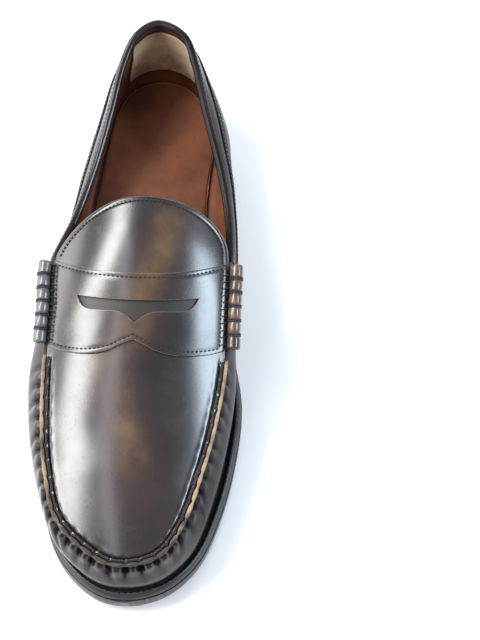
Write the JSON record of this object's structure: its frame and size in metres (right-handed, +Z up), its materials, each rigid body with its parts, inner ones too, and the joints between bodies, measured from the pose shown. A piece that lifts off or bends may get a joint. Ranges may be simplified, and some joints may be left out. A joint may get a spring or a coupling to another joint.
{
  "type": "penny loafer",
  "caption": "Men's slip-on shoe with a moccasin apron, slotted saddle strap, beef rolls, storm welt and stacked heel; right foot.",
  "frame": {"origin": "centre of the bounding box's base, on the floor the shoe stands on", "axes": "-Y to the toe, +Y to the heel, +X to the inner (medial) side of this right shoe, +Z up"},
  "size_m": [0.1124, 0.306, 0.0894],
  "materials": {
    "burnished_leather": "near-black burnished smooth leather, brown and burgundy showing through down the middle, glossy",
    "edge_dressed_leather": "black edge dressing, satin",
    "sole_leather": "firm tan sole leather",
    "lining_leather": "tan lining leather, semi-matt",
    "heel_grip_suede": "pale suede, matt",
    "cork": "granulated cork filler",
    "counter_board": "pressed leather board",
    "spring_steel": "plain spring steel",
    "heel_rubber": "black rubber, matt",
    "brass": "drawn brass",
    "waxed_thread": "waxed black linen thread"
  },
  "bodies": {
    "root": {"vamp_sidewall": "burnished_leather", "apron": "burnished_leather", "saddle_strap": "burnished_leather", "quarter_medial": "burnished_leather", "quarter_lateral": "burnished_leather", "collar_medial": "burnished_leather", "collar_lateral": "burnished_leather", "heel_kicker": "burnished_leather", "topline_binding": "burnished_leather", "beef_roll_medial": "burnished_leather", "beef_roll_lateral": "burnished_leather", "welt": "edge_dressed_leather", "heel_rand": "edge_dressed_leather", "heel_lift_1": "edge_dressed_leather", "heel_lift_2": "edge_dressed_leather", "heel_lift_3": "edge_dressed_leather", "outsole": "sole_leather", "insole": "sole_leather", "vamp_lining": "lining_leather", "apron_lining": "lining_leather", "quarter_lining_medial": "lining_leather", "quarter_lining_lateral": "lining_leather", "sock_lining": "lining_leather", "heel_grip": "heel_grip_suede", "cork_filler": "cork", "heel_counter": "counter_board", "shank": "spring_steel", "heel_top_lift": "heel_rubber", "heel_nail_1": "brass", "heel_nail_2": "brass", "heel_nail_3": "brass", "heel_nail_4": "brass", "heel_nail_5": "brass", "roll_wrap_medial_1": "waxed_thread", "roll_wrap_medial_2": "waxed_thread", "roll_wrap_medial_3": "waxed_thread", "roll_wrap_medial_4": "waxed_thread", "roll_wrap_medial_5": "waxed_thread", "roll_wrap_lateral_1": "waxed_thread", "roll_wrap_lateral_2": "waxed_thread", "roll_wrap_lateral_3": "waxed_thread", "roll_wrap_lateral_4": "waxed_thread", "roll_wrap_lateral_5": "waxed_thread", "apron_thread": "waxed_thread"}
  },
  "joints": []
}
